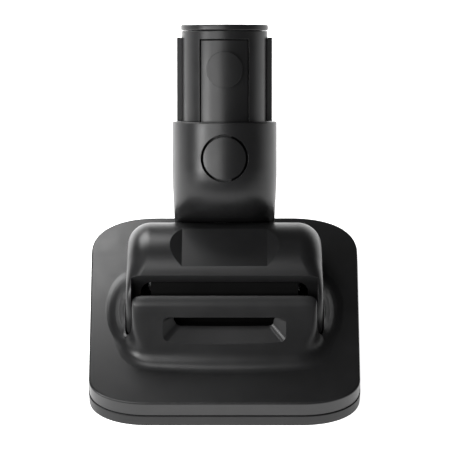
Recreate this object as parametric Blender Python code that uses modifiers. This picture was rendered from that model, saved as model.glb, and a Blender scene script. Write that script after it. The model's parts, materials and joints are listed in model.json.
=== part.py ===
"""Pivoting motorised brush head with a quick-release neck.

Metres, +Z up, front towards -Y. The origin is on the floor, straight under the
neck's pivot. Sizes are in millimetres and are scaled by MM as meshes are made.
"""

import math

import bmesh
import bpy
from mathutils import Matrix, Vector

MM = 0.001
GAP = 0.3

# Head plan: a rounded trapezoid, slightly wider at the back.
HEAD_FRONT = -79.5
HEAD_BACK = 56.5
HEAD_HALF_FRONT = 75.3
HEAD_HALF_BACK = 77.0
FRONT_CORNER = (34.0, 18.0, 2.2)
BACK_CORNER = (40.0, 27.0, 2.35)
DECK_TOP = 20.0
SOLE_TOP = 8.8
WALL = 2.4
FLOOR = 2.2

# Neck pivot and hood barrel.
PIVOT_Z = 28.5
NECK_TILT = 45.0
HOOD_R = 34.0
HOOD_WALL = 4.6
HOOD_HALF = 54.8
HOOD_ROUND = 13.5
CHEEK_R = 21.0
ARM_ROUND = 2.6
CHEEK_INNER = 46.8
LIP_Y = -18.6
ARM_INNER = 51.8
HOOD_CLEARANCE = 0.8
SCOOP_TILT = 89.3
SCOOP_HALF = 30.5
SCOOP_RISE = 13.5
SCOOP_DEPTH = 31.2
PIN_R = 3.0

# Neck, measured along its axis from the pivot.
SLEEVE_R = 29.6
SLEEVE_TOP = 91.4
TUBE_R = 24.2
TUBE_BOTTOM = 53.0
NIPPLE_BOTTOM = 46.0
NIPPLE_SHIFT = 13.0
TUBE_TOP = 142.4
SPIGOT_END = 145.8
COLLAR_R = 24.6
BORE_R = 16.0
BORE_SHIFT = 5.0
RAIL_TOP = 138.7
SLOT_HALF = 13.6
SLOT_FLOOR = 12.7
SLOT_TOP = 137.4
SLOT_BOTTOM = 55.4
LEVER_PIVOT_U = 58.5
LEVER_PIVOT_V = 16.0
LEVER_TOP = 136.9
LEVER_R = 23.7
CATCH_U = 120.7
CATCH_R = 10.1
BUTTON_U = 71.6
BUTTON_R = 12.0
BUTTON_HOLE_R = 13.2
STEM_U = 76.0

# Sleeve sections: distance along the neck, half width, front and back reach.
SLEEVE = [(12, 28.0, -2.5, 22.6), (24, 28.2, -2.5, 23.6), (31, 28.4, -2.5, 25.8),
          (34, 28.5, -1.0, 26.6), (39, 28.7, 8.5, 27.5), (44, 28.9, 18.0, 28.3),
          (48, 29.1, 24.4, 28.9), (51, 29.2, 27.2, 29.2), (54.8, 29.4, 29.2, 29.4),
          (62, 29.6, 29.6, 29.6), (90.9, 29.6, 29.6, 29.6), (91.4, 29.1, 29.1, 29.1)]

# Brush and drive, with axes along X.
BRUSH_Y = -33.5
BRUSH_Z = 13.3
BRISTLE_R = 12.5
CORE_R = 6.2
CHAMBER_IN = 13.3
CHAMBER_OUT = 14.8
CHAMBER_HALF = 46.2
BELT_LEFT = -39.6
BELT_RIGHT = -34.4
MOTOR_Y = 0.5
MOTOR_Z = 21.0
MOTOR_R = 12.0
PINION_R = 3.5
STUB_R = 7.4
ROLLER = (55.0, 38.0, 4.2)

LOCK_SPOT = (61.5, -33.5)
LINT_GROOVES = ((-53.3, -48.9), (-18.1, -13.7))
SCREW_SPOTS = [(-62, -66), (62, -66), (-67.5, 4), (67.5, 4), (-44, 49), (44, 49)]

# Front housing: height, front edge, half width and plan corner size.
HOUSING = [
    (18.6, -61.4, 62.6, 22.0), (20.0, -60.3, 61.5, 22.0), (21.2, -55.8, 57.6, 19.0),
    (23.2, -51.7, 54.4, 16.0), (27.0, -47.5, 52.2, 13.0), (46.0, -32.9, 51.2, 10.0),
    (48.8, -31.9, 50.2, 9.5), (50.5, -30.8, 48.4, 9.0), (51.4, -28.6, 46.0, 8.0),
]
HOUSING_REAR = -8.0
# Side flare: height, half length across, half length along, centre along.
FLARE = [(18.2, 14.9, 29.3, -10.3), (20.0, 13.2, 27.0, -11.5), (22.0, 8.6, 21.0, -14.0),
         (25.0, 5.0, 15.0, -17.0), (29.0, 2.6, 9.0, -19.8), (31.5, 1.6, 5.0, -21.3)]

BLACK = (0.020, 0.020, 0.021, 1.0)
DARK = (0.012, 0.012, 0.013, 1.0)
STEEL = (0.55, 0.55, 0.56, 1.0)
BRASS = (0.70, 0.52, 0.22, 1.0)
GREEN = (0.03, 0.16, 0.07, 1.0)
RUBBER = (0.015, 0.015, 0.015, 1.0)
FELT = (0.05, 0.05, 0.055, 1.0)


# ---------------------------------------------------------------- helpers

def clear_scene():
    for obj in list(bpy.data.objects):
        bpy.data.objects.remove(obj, do_unlink=True)
    for group in list(bpy.data.collections):
        bpy.data.collections.remove(group)


def new_collection(name):
    group = bpy.data.collections.new(name)
    bpy.context.scene.collection.children.link(group)
    return group


def make_material(name, colour, roughness, metallic=0.0):
    material = bpy.data.materials.new(name)
    material.use_nodes = True
    shader = material.node_tree.nodes["Principled BSDF"]
    shader.inputs["Base Color"].default_value = colour
    shader.inputs["Roughness"].default_value = roughness
    shader.inputs["Metallic"].default_value = metallic
    material.diffuse_color = colour
    return material


def add_mesh(name, bm, group, look=None, parent=None):
    """Turns a bmesh in millimetres into an object in metres."""
    bmesh.ops.scale(bm, vec=(MM, MM, MM), verts=bm.verts)
    bmesh.ops.recalc_face_normals(bm, faces=bm.faces)
    mesh = bpy.data.meshes.new(name)
    bm.to_mesh(mesh)
    bm.free()
    mesh.shade_smooth()
    mesh.set_sharp_from_angle(angle=math.radians(35))
    obj = bpy.data.objects.new(name, mesh)
    group.objects.link(obj)
    if look:
        mesh.materials.append(make_material(name, *look))
    if parent:
        obj.parent = parent
    return obj


def block(low, high):
    """Box between two corners."""
    bm = bmesh.new()
    bmesh.ops.create_cube(bm, size=1.0)
    size = [b - a for a, b in zip(low, high)]
    middle = [(a + b) / 2 for a, b in zip(low, high)]
    bmesh.ops.scale(bm, vec=size, verts=bm.verts)
    bmesh.ops.translate(bm, vec=middle, verts=bm.verts)
    return bm


TURN = {"X": Matrix.Rotation(math.radians(90), 4, "Y"),
        "Y": Matrix.Rotation(math.radians(-90), 4, "X"),
        "Z": Matrix.Identity(4)}


def rod(axis, start, end, radius, centre=(0.0, 0.0), segments=32, radius_end=None):
    """Cylinder or cone along an axis; centre gives the other two coordinates."""
    bm = bmesh.new()
    top = radius if radius_end is None else radius_end
    bmesh.ops.create_cone(bm, cap_ends=True, segments=segments, radius1=radius,
                          radius2=top, depth=end - start, matrix=TURN[axis])
    middle = (start + end) / 2
    a, b = centre
    shift = {"X": (middle, a, b), "Y": (a, middle, b), "Z": (a, b, middle)}[axis]
    bmesh.ops.translate(bm, vec=shift, verts=bm.verts)
    return bm


def ring_loft(rings, closed=False):
    """Loft through rings of equal point counts, capped unless the rings close up."""
    bm = bmesh.new()
    loops = [[bm.verts.new(point) for point in ring] for ring in rings]
    pairs = list(zip(loops, loops[1:]))
    if closed:
        pairs.append((loops[-1], loops[0]))
    count = len(loops[0])
    for lower, upper in pairs:
        for i in range(count):
            j = (i + 1) % count
            bm.faces.new((lower[i], lower[j], upper[j], upper[i]))
    if not closed:
        bm.faces.new(list(reversed(loops[0])))
        bm.faces.new(loops[-1])
    return bm


def turned(axis, profile, steps=48, centre=(0.0, 0.0)):
    """Turns a closed or axis-to-axis profile of (along, radius) about an axis."""
    helper = bpy.data.meshes.new("profile")
    points = [(radius * MM, 0.0, along * MM) for along, radius in profile]
    edges = [(i, i + 1) for i in range(len(points) - 1)]
    if profile[0][1] > 0:
        edges.append((len(points) - 1, 0))
    helper.from_pydata(points, edges, [])
    obj = bpy.data.objects.new("profile", helper)
    bpy.context.scene.collection.objects.link(obj)
    screw = obj.modifiers.new("turn", "SCREW")
    screw.steps = steps
    screw.render_steps = steps
    screw.use_merge_vertices = True
    screw.merge_threshold = 0.00001
    graph = bpy.context.evaluated_depsgraph_get()
    result = bpy.data.meshes.new_from_object(obj.evaluated_get(graph))
    bpy.data.objects.remove(obj, do_unlink=True)
    bm = bmesh.new()
    bm.from_mesh(result)
    bpy.data.meshes.remove(result)
    bmesh.ops.remove_doubles(bm, verts=bm.verts, dist=0.000005)
    bmesh.ops.scale(bm, vec=(1 / MM,) * 3, verts=bm.verts)
    bmesh.ops.transform(bm, matrix=TURN[axis], verts=bm.verts)
    a, b = centre
    shift = {"X": (0, a, b), "Y": (a, 0, b), "Z": (a, b, 0)}[axis]
    bmesh.ops.translate(bm, vec=shift, verts=bm.verts)
    return bm


class Workshop:
    """Holds the two collections and makes, cuts and joins pieces."""

    def __init__(self, name):
        self.parts = new_collection(name)
        self.cutters = new_collection("cutters")
        self.cutters.hide_render = True
        self.count = 0

    def piece(self, name, bm, look, parent=None):
        return add_mesh(name, bm, self.parts, look, parent)

    def tool(self, bm, parent=None):
        self.count += 1
        obj = add_mesh(f"tool_{self.count:03d}", bm, self.cutters, None, parent)
        obj.hide_render = True
        obj.display_type = "WIRE"
        return obj

    def boolean(self, target, operation, bm, parent=None):
        cutter = bm if isinstance(bm, bpy.types.Object) else self.tool(bm, parent)
        modifier = target.modifiers.new(operation.lower(), "BOOLEAN")
        modifier.operation = operation
        modifier.solver = "EXACT"
        modifier.object = cutter
        return cutter

    def cut(self, target, bm, parent=None):
        return self.boolean(target, "DIFFERENCE", bm, parent)

    def join(self, target, bm, parent=None):
        return self.boolean(target, "UNION", bm, parent)

    def keep(self, target, bm, parent=None):
        return self.boolean(target, "INTERSECT", bm, parent)


def empty(name, location, tilt, parent, group):
    obj = bpy.data.objects.new(name, None)
    obj.empty_display_size = 0.01
    obj.location = [c * MM for c in location]
    obj.rotation_euler = (math.radians(tilt), 0, 0)
    obj.parent = parent
    group.objects.link(obj)
    return obj


# ---------------------------------------------------------------- outlines

def corner_arc(size, steps):
    """Quarter of a superellipse from its side point to its front point."""
    a, b, power = size
    points = []
    for i in range(steps + 1):
        angle = math.pi / 2 * i / steps
        points.append((a * math.cos(angle) ** (2 / power), b * math.sin(angle) ** (2 / power)))
    return points


def head_outline(inset, steps=6):
    """Head plan drawn inwards by inset, as (x, y) points counter-clockwise."""
    front, back = HEAD_FRONT + inset, HEAD_BACK - inset
    right = []
    fa, fb, fp = FRONT_CORNER
    half = HEAD_HALF_FRONT - inset
    for dx, dy in reversed(corner_arc((fa - inset, fb - inset, fp), steps)):
        right.append((half - (fa - inset) + dx, front + (fb - inset) - dy))
    ba, bb, bp = BACK_CORNER
    half = HEAD_HALF_BACK - inset
    for dx, dy in corner_arc((ba - inset, bb - inset, bp), steps):
        right.append((half - (ba - inset) + dx, back - (bb - inset) + dy))
    left = [(-x, y) for x, y in reversed(right)]
    return right + left


def head_loft(levels, steps=6):
    return ring_loft([[(x, y, z) for x, y in head_outline(inset, steps)] for z, inset in levels])


def housing_outline(front, half, corner, steps=5):
    right = [(half, HOUSING_REAR)]
    for dx, dy in corner_arc((corner, corner, 2.3), steps):
        right.append((half - corner + dx, front + corner - dy))
    return right + [(-x, y) for x, y in reversed(right)]


def housing_loft(side=0.0, drop=0.0):
    rings = []
    for z, front, half, corner in HOUSING:
        outline = housing_outline(front + side * 1.25, half - side, max(corner - side * 1.7, 4.0))
        rings.append([(x, y, z - drop) for x, y in outline])
    return ring_loft(rings)


def flare_loft(sign, steps=20):
    rings = []
    for z, across, along, centre in FLARE:
        ring = []
        for i in range(steps):
            angle = 2 * math.pi * i / steps
            ring.append((sign * (54.0 + across * math.cos(angle)),
                         centre + along * math.sin(angle), z))
        rings.append(ring)
    return ring_loft(rings)


def hood_profile(grow, half_grow, soft, steps=5):
    """Half of the barrel's outline as (along X, radius); soft is 1 on top and 0 at the arms."""
    radius, half = HOOD_R + grow, HOOD_HALF + half_grow
    across = ARM_ROUND + (HOOD_ROUND - ARM_ROUND) * soft
    down = ARM_ROUND + (HOOD_R - CHEEK_R - ARM_ROUND) * soft
    angles = [math.pi / 2 * i / steps for i in range(steps + 1)]
    right = [(half - across * (1 - math.sin(a)), radius - down * (1 - math.cos(a))) for a in angles]
    return [(-x, r) for x, r in reversed(right)] + right


def hood_solid(grow, half_grow, steps=54):
    """Barrel about the pivot: full cheeks on top, square-edged discs where its arms are."""
    bm = bmesh.new()
    rings = []
    for i in range(steps):
        elevation = 360.0 * i / steps - 90.0
        soft = min(1.0, max(0.0, (elevation - 30.0) / 22.0))
        soft = soft * soft * (3 - 2 * soft)
        y, z = -math.cos(math.radians(elevation)), math.sin(math.radians(elevation))
        rings.append([bm.verts.new((x, y * r, PIVOT_Z + z * r))
                      for x, r in hood_profile(grow, half_grow, soft)])
    for a, b in zip(rings, rings[1:] + rings[:1]):
        for k in range(len(a) - 1):
            bm.faces.new((a[k], b[k], b[k + 1], a[k + 1]))
    bm.faces.new([ring[0] for ring in reversed(rings)])
    bm.faces.new([ring[-1] for ring in rings])
    bmesh.ops.recalc_face_normals(bm, faces=bm.faces)
    return bm


def hood_cavity():
    """Space inside the barrel, with rounded ends."""
    radius, soft = HOOD_R - HOOD_WALL, 7.0
    right = []
    for i in range(5):
        angle = math.pi / 2 * i / 4
        right.append((CHEEK_INNER - soft + soft * math.sin(angle),
                      radius - soft + soft * math.cos(angle)))
    right.append((CHEEK_INNER, 0.0))
    profile = [(-x, r) for x, r in reversed(right)] + right
    return turned("X", profile, 48, (0.0, PIVOT_Z))


# ---------------------------------------------------------------- head shells

def make_top_cover(shop):
    cover = shop.piece("top_cover", head_loft(
        [(SOLE_TOP + GAP, 0.0), (19.0, 0.05), (19.6, 0.3), (DECK_TOP, 1.0)]), (BLACK, 0.42))
    shop.join(cover, housing_loft())
    for sign in (-1, 1):
        shop.join(cover, flare_loft(sign))
    cavity = shop.tool(head_loft([(SOLE_TOP - 1, WALL), (DECK_TOP - WALL, WALL + 0.6)]))
    shop.join(cavity, housing_loft(WALL, WALL))
    for x, y in SCREW_SPOTS:
        shop.cut(cavity, rod("Z", 4.6, DECK_TOP, 3.2, (x, y), 12))
    shop.cut(cavity, notch_solid(1.8, 0.0))
    shop.cut(cover, cavity)
    for x, y in SCREW_SPOTS:
        shop.cut(cover, rod("Z", 0.0, 15.5, 1.5, (x, y), 8))
    shop.cut(cover, notch_solid(0.0, 6.0))
    shop.cut(cover, block((-26.2, -34.5, 30.6), (26.2, -20.0, 34.6)))
    shop.cut(cover, hood_solid(HOOD_CLEARANCE, HOOD_CLEARANCE))
    return cover


def notch_solid(grow, mouth):
    """Air intake: a level floor that narrows towards a slot at its back."""
    rings = []
    for y, half, low, high in ((-48.5 - mouth, 34.2, 29.0, 41.7), (-45.0, 34.2, 29.5, 41.7),
                               (-30.5, 26.2, 30.6, 40.8)):
        half, low, high = half + grow, low - grow, high + grow
        y = y + grow * 0.65 if y > -40 else y
        ring = []
        for cx, cz, start in ((half - 3, high - 3, 0), (3 - half, high - 3, 90),
                              (3 - half, low + 3, 180), (half - 3, low + 3, 270)):
            for i in range(4):
                angle = math.radians(start + 30 * i)
                ring.append((cx + 3 * math.cos(angle), y, cz + 3 * math.sin(angle)))
        rings.append(ring)
    return ring_loft(rings)


def make_sole(shop):
    sole = shop.piece("sole_plate", head_loft(
        [(0.0, 0.6), (0.5, 0.1), (SOLE_TOP, 0.1)]), (DARK, 0.5))
    cavity = shop.tool(head_loft([(FLOOR, WALL + 1.0), (SOLE_TOP + 1, WALL + 0.6)]))
    x, y, z = ROLLER
    for sign in (-1, 1):
        shop.cut(cavity, block(sorted_low(sign, 51.7, 55.3, -38.5, 1.0),
                               sorted_high(sign, 51.7, 55.3, -28.5, BRUSH_Z)))
        for inner, outer in ((x - 8.6, x - 6.2), (x + 6.2, x + 8.6)):
            shop.cut(cavity, block(sorted_low(sign, inner, outer, y - 3, 1.0),
                                   sorted_high(sign, inner, outer, y + 3, z + 2.6)))
    shop.cut(sole, cavity)
    shop.cut(sole, block((-44.6, -45.4, -1), (44.6, -21.4, 5)))
    for sign in (-1, 1):
        shop.join(sole, block(sorted_low(sign, 51.7, 55.3, -38.5, SOLE_TOP - 2),
                              sorted_high(sign, 51.7, 55.3, -28.5, BRUSH_Z)))
        shop.cut(sole, block(sorted_low(sign, x - 5.6, x + 5.6, y - 5.2, -1),
                             sorted_high(sign, x - 5.6, x + 5.6, y + 5.2, 5)))
    shop.cut(sole, rod("X", -60, 60, 4.2, (BRUSH_Y, BRUSH_Z), 20))
    shop.cut(sole, rod("X", -66, 66, 1.3, (y, z), 10))
    shop.cut(sole, rod("Z", -1, 3, 6.4, LOCK_SPOT, 32))
    for spot in SCREW_SPOTS:
        shop.cut(sole, rod("Z", -1, 1.3, 3.3, spot, 12))
        shop.cut(sole, rod("Z", 0, 3, 1.6, spot, 8))
    for low, high in LINT_GROOVES:
        shop.cut(sole, block((-44.3, low, -1), (44.3, high, 1.2)))
    return sole


def sorted_low(sign, inner, outer, y, z):
    return (min(sign * inner, sign * outer), y, z)


def sorted_high(sign, inner, outer, y, z):
    return (max(sign * inner, sign * outer), y, z)


def make_sole_details(shop):
    for name, (low, high) in zip(("front_lint_strip", "rear_lint_strip"), LINT_GROOVES):
        shop.piece(name, block((-44, low + GAP, 0.1), (44, high - GAP, 0.9)), (FELT, 0.95))
    for number, spot in enumerate(SCREW_SPOTS, 1):
        profile = [(0.2, 0.0), (0.2, 2.9), (1.0, 2.9), (1.0, 1.1), (13.0, 1.1), (13.0, 0.0)]
        shop.piece(f"sole_screw_{number}", turned("Z", profile, 12, spot), (STEEL, 0.3, 1.0))


# ---------------------------------------------------------------- brush and drive

def make_brush_chamber(shop):
    chamber = shop.piece("brush_chamber", rod(
        "X", -CHAMBER_HALF, CHAMBER_HALF, CHAMBER_OUT, (BRUSH_Y, BRUSH_Z), 36), (BLACK, 0.5))
    shop.join(chamber, rod("Y", BRUSH_Y, -14.6, STUB_R, (0.0, 16.0), 24))
    shop.cut(chamber, rod("X", -45.2, 45.2, CHAMBER_IN, (BRUSH_Y, BRUSH_Z), 36))
    shop.cut(chamber, rod("Y", BRUSH_Y, -10, STUB_R - 1.2, (0.0, 16.0), 24))
    shop.cut(chamber, rod("X", -60, 60, 3.0, (BRUSH_Y, BRUSH_Z), 24))
    shop.cut(chamber, block((-60, -60, -10), (60, -10, FLOOR + GAP)))
    shop.cut(chamber, block((BELT_LEFT - 0.8, -33, 4), (BELT_RIGHT + 0.8, -14, 25)))


def make_inner_shroud(shop):
    """Fixed curved shield behind the slot, so that nothing falls in as the hood moves."""
    ring = []
    for radius, sweep in ((28.4, 1), (27.2, -1)):
        for i in range(13):
            elevation = 38.5 + sweep * (79 * i / 12 - 39.5)
            angle = math.radians(180 - elevation)
            ring.append((radius * math.cos(angle), PIVOT_Z + radius * math.sin(angle)))
    shop.piece("inner_shroud", ring_loft([[(x, y, z) for y, z in ring] for x in (-41, 41)]),
               (DARK, 0.7))


def helix_strip(thickness, offset, start=-33.4, end=44.0, sweep=150.0, steps=14):
    """Helical rib on the brush core, as a loft of thin radial sections."""
    rings = []
    for i in range(steps + 1):
        x = start + (end - start) * i / steps
        turn = math.radians(offset + sweep * i / steps)
        across = Vector((0.0, -math.sin(turn), math.cos(turn))) * (thickness / 2)
        out = Vector((0.0, math.cos(turn), math.sin(turn)))
        middle = Vector((x, BRUSH_Y, BRUSH_Z))
        ring = [middle + out * r + across * s
                for r, s in ((CORE_R + 0.4, -1), (BRISTLE_R, -0.7), (BRISTLE_R, 0.7), (CORE_R + 0.4, 1))]
        rings.append([tuple(p) for p in ring])
    return ring_loft(rings)


def make_brush(shop, brush):
    centre = (BRUSH_Y, BRUSH_Z)
    local = lambda bm: shift(bm, (0, -BRUSH_Y, -BRUSH_Z))
    profile = [(-44.8, 1.8), (-44.8, 5.4), (BELT_LEFT - 0.5, 5.4), (BELT_LEFT - 0.5, 3.5),
               (BELT_RIGHT + 0.5, 3.5), (BELT_RIGHT + 0.5, CORE_R), (44.8, CORE_R), (44.8, 1.8)]
    shop.piece("brush_core", local(turned("X", profile, 24, centre)), (BLACK, 0.35), brush)
    shop.piece("brush_axle", local(rod("X", -55.0, 55.0, 1.5, centre, 16)), (STEEL, 0.25, 1.0), brush)
    profile = [(BELT_LEFT - 0.2, 3.8), (BELT_LEFT - 0.2, 5.6), (BELT_RIGHT + 0.2, 5.6),
               (BELT_RIGHT + 0.2, 3.8)]
    shop.piece("brush_pulley", local(turned("X", profile, 24, centre)), (STEEL, 0.3, 1.0), brush)
    for number, offset in enumerate((0, 180), 1):
        shop.piece(f"bristle_strip_{number}", local(helix_strip(3.0, offset)), (FELT, 0.9), brush)
        shop.piece(f"rubber_blade_{number}", local(helix_strip(1.6, offset + 90)),
                   (RUBBER, 0.6), brush)


def shift(bm, vector):
    bmesh.ops.translate(bm, vec=vector, verts=bm.verts)
    return bm


def make_bearings(shop):
    for name, low, high in (("brush_bearing_left", -55.2, -51.8), ("brush_bearing_right", 51.8, 55.2)):
        profile = [(low, 1.8), (low, 3.9), (high, 3.9), (high, 1.8)]
        shop.piece(name, turned("X", profile, 24, (BRUSH_Y, BRUSH_Z)), (BRASS, 0.35, 1.0))


def belt_loop(radius_a, radius_b):
    """Outline round two circles, as (y, z) points."""
    a, b = Vector((BRUSH_Y, BRUSH_Z)), Vector((MOTOR_Y, MOTOR_Z))
    span = b - a
    heading = math.atan2(span.y, span.x)
    lean = math.acos((radius_a - radius_b) / span.length)
    points = []
    for i in range(15):
        angle = heading + lean + (2 * math.pi - 2 * lean) * i / 14
        points.append((a.x + radius_a * math.cos(angle), a.y + radius_a * math.sin(angle)))
    for i in range(9):
        angle = heading - lean + 2 * lean * i / 8
        points.append((b.x + radius_b * math.cos(angle), b.y + radius_b * math.sin(angle)))
    return points


def make_belt(shop):
    rings = []
    for grow, x in ((0.3, BELT_LEFT), (1.3, BELT_LEFT), (1.3, BELT_RIGHT), (0.3, BELT_RIGHT)):
        rings.append([(x, y, z) for y, z in belt_loop(5.6 + grow, PINION_R + grow)])
    shop.piece("drive_belt", ring_loft(rings, closed=True), (RUBBER, 0.7))


def make_motor(shop, rotor):
    centre = (MOTOR_Y, MOTOR_Z)
    profile = [(-33.0, 1.3), (-33.0, 3.6), (-32.4, 4.0), (-32.4, 11.2), (-31.6, MOTOR_R),
               (-14.6, MOTOR_R), (-13.8, 11.2), (-13.8, 1.3)]
    shop.piece("motor_can", turned("X", profile, 28, centre), (STEEL, 0.35, 1.0))
    local = lambda bm: shift(bm, (0, -MOTOR_Y, -MOTOR_Z))
    shop.piece("motor_shaft", local(rod("X", -41.5, -13.4, 1.0, centre, 16)), (STEEL, 0.2, 1.0), rotor)
    profile = [(BELT_LEFT - 0.2, 1.3), (BELT_LEFT - 0.2, PINION_R), (BELT_RIGHT + 0.2, PINION_R),
               (BELT_RIGHT + 0.2, 1.3)]
    shop.piece("motor_pinion", local(turned("X", profile, 24, centre)), (BRASS, 0.3, 1.0), rotor)
    cradle = shop.piece("motor_cradle", block((-30, -8, FLOOR + GAP), (-17, 9, 15)), (BLACK, 0.5))
    shop.cut(cradle, rod("X", -40, -5, MOTOR_R + GAP, centre, 28))


def make_electronics(shop):
    shop.piece("control_board", block((17, -6, 20.0), (41, 14, 21.6)), (GREEN, 0.45))
    for name, y in (("board_post_front", -2.5), ("board_post_rear", 10.5)):
        shop.piece(name, rod("Z", FLOOR + GAP, 19.7, 2.2, (29.0, y), 16), (BLACK, 0.5))
    shop.piece("board_capacitor", rod("Z", 21.9, 30.0, 3.0, (23.0, 2.0), 24), (DARK, 0.3))
    shop.piece("wire_connector", block((31, -2, 21.9), (38, 8, 27.5)), ((0.8, 0.8, 0.78, 1), 0.5))


def make_pivots(shop):
    for side, sign in (("left", -1), ("right", 1)):
        centre = (0.0, PIVOT_Z)
        span = lambda a, b: tuple(sorted((sign * a, sign * b)))
        low, high = span(43.0, 46.2)
        bracket = shop.piece(f"pivot_bracket_{side}", block(
            (low, -8, FLOOR + GAP), (high, 8, PIVOT_Z)), (BLACK, 0.5))
        shop.join(bracket, rod("X", low, high, 8.0, centre, 32))
        foot_low, foot_high = span(36.0, 46.2)
        shop.join(bracket, block((foot_low, -8, FLOOR + GAP), (foot_high, 8, 5.0)))
        shop.cut(bracket, rod("X", low - 2, high + 2, PIN_R + GAP, centre, 24))
        profile = [(41.3, 0.0), (41.3, 4.8), (42.7, 4.8), (42.7, PIN_R), (50.4, PIN_R),
                   (51.0, PIN_R - 0.6), (51.0, 0.0)]
        profile = [(sign * x, r) for x, r in profile]
        shop.piece(f"pivot_pin_{side}", turned("X", profile, 24, centre), (STEEL, 0.3, 1.0))


def bend_point(t, reach=24.5):
    """Point and direction on the air hose's middle line, a cubic from stub to nipple."""
    tilt = math.radians(NECK_TILT)
    along = Vector((0, math.sin(tilt), math.cos(tilt)))
    behind = Vector((0, math.cos(tilt), -math.sin(tilt)))
    start = Vector((0, -18.2, 16.0))
    end = Vector((0, 0, PIVOT_Z)) + along * (NIPPLE_BOTTOM + 2) + behind * NIPPLE_SHIFT
    first, second = start + Vector((0, 1.3 * reach, 0)), end - along * reach
    s = 1 - t
    point = start * s ** 3 + first * 3 * s * s * t + second * 3 * s * t * t + end * t ** 3
    heading = (first - start) * s * s + (second - first) * 2 * s * t + (end - second) * t * t
    return point, heading.normalized()


def make_air_hose(shop, segments=16, folds=9):
    """Corrugated hose from the chamber's outlet to the neck's nipple."""
    outer, inner = [], []
    for i in range(2 * folds + 1):
        t = i / (2 * folds)
        point, heading = bend_point(t)
        up = Vector((1, 0, 0)).cross(heading)
        for rings, radius in ((outer, 8.55 if i % 2 else 8.25), (inner, 7.8)):
            rings.append([tuple(point + Vector((1, 0, 0)) * radius * math.cos(a) + up * radius * math.sin(a))
                          for a in (2 * math.pi * k / segments for k in range(segments))])
    shop.piece("air_hose", ring_loft(outer + list(reversed(inner)), closed=True), (RUBBER, 0.6))


def make_rollers(shop, rollers):
    x, y, z = ROLLER
    for side, sign in (("left", -1), ("right", 1)):
        middle = sign * x
        profile = [(-5.0, 1.3), (-5.0, 3.4), (-4.2, 4.0), (4.2, 4.0), (5.0, 3.4), (5.0, 1.3)]
        shop.piece(f"roller_{side}", turned("X", profile, 20), (RUBBER, 0.6), rollers[side])
        low, high = middle - 8.2, middle + 8.2
        shop.piece(f"roller_axle_{side}", rod("X", low, high, 1.0, (y, z), 12), (STEEL, 0.3, 1.0))


def make_brush_lock(shop, lock):
    profile = [(0.3, 0.0), (0.3, 6.0), (2.0, 6.0), (2.0, 5.2), (2.6, 5.2), (2.6, 3.0), (6.8, 3.0),
               (6.8, 0.0)]
    disc = shop.piece("brush_lock", turned("Z", profile, 32), (DARK, 0.4), lock)
    shop.cut(disc, block((-5.2, -0.8, -1), (5.2, 0.8, 1.3)), lock)


# ---------------------------------------------------------------- neck

def make_hood(shop, neck_axis):
    hood = shop.piece("hood_shell", hood_solid(0, 0), (BLACK, 0.38))
    shop.cut(hood, hood_cavity())
    shop.cut(hood, block((-ARM_INNER, -60, -20), (ARM_INNER, LIP_Y, 80)))
    shop.cut(hood, block((-ARM_INNER, -60, -20), (ARM_INNER, -9.0, 24.0)))
    shop.cut(hood, block((-60, -60, -20), (60, -20.0, 24.0)))
    shop.cut(hood, block((-60, -60, -20), (60, 60, 12.0)))
    shop.cut(hood, scoop_solid())
    hole = [[(24.0 * math.cos(a), 13.4 + 10.4 * math.sin(a), u) for a in
             (2 * math.pi * i / 28 for i in range(28))] for u in (12, 45)]
    shop.cut(hood, ring_loft(hole), neck_axis)
    for sign in (-1, 1):
        low, high = sorted((sign * 40, sign * 51.7))
        shop.cut(hood, rod("X", low, high, 5.2, (0, PIVOT_Z), 26))
    return hood


def scoop_solid():
    """Flat milled across the top of the barrel, with rounded ends."""
    tilt = math.radians(SCOOP_TILT)
    out = Vector((0, -math.cos(tilt), math.sin(tilt)))
    along = Vector((0, math.sin(tilt), math.cos(tilt)))
    axis = Vector((0, 0, PIVOT_Z))
    ring_low, ring_high = [], []
    for sign in (1, -1):
        for i in range(13):
            angle = math.radians(-90 + 15 * i)
            x = sign * (SCOOP_HALF - 6 + 6 * math.cos(angle))
            reach = SCOOP_RISE * math.sin(angle) * sign
            for ring, depth in ((ring_low, SCOOP_DEPTH), (ring_high, HOOD_R + 6)):
                ring.append(tuple(axis + out * depth + along * reach + Vector((x, 0, 0))))
    return ring_loft([ring_low, ring_high])


def sleeve_loft(inset, last, steps=40):
    """Loft of the sleeve's oval sections in the neck's own axes."""
    rings = []
    for u, across, front, back in SLEEVE:
        if u > last:
            break
        middle, deep = (back - front) / 2, (back + front) / 2 - inset
        rings.append([((across - inset) * math.cos(a), middle + deep * math.sin(a), u)
                      for a in (2 * math.pi * i / steps for i in range(steps))])
    return ring_loft(rings)


def make_sleeve(shop, neck_axis):
    """Neck pieces are drawn in the neck's own axes: X across, -Y front, Z along."""
    sleeve = shop.piece("neck_sleeve", sleeve_loft(0, SLEEVE_TOP), (BLACK, 0.4), neck_axis)
    shop.cut(sleeve, sleeve_loft(2.3, 55), neck_axis)
    bore = [(50, 0.0), (50, TUBE_R + GAP), (55, TUBE_R + GAP), (56, 26.5), (100, 26.5), (100, 0.0)]
    shop.cut(sleeve, turned("Z", bore, 40), neck_axis)
    shop.cut(sleeve, hood_solid(GAP, GAP))
    shop.cut(sleeve, rod("Y", -40, -10, BUTTON_HOLE_R, (0, BUTTON_U), 36), neck_axis)
    for u in (62, 80):
        shop.cut(sleeve, rod("Y", 20, 40, 1.5, (0, u), 8), neck_axis)
        shop.cut(sleeve, rod("Y", 27.9, 40, 3.0, (0, u), 12), neck_axis)
    return sleeve


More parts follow.
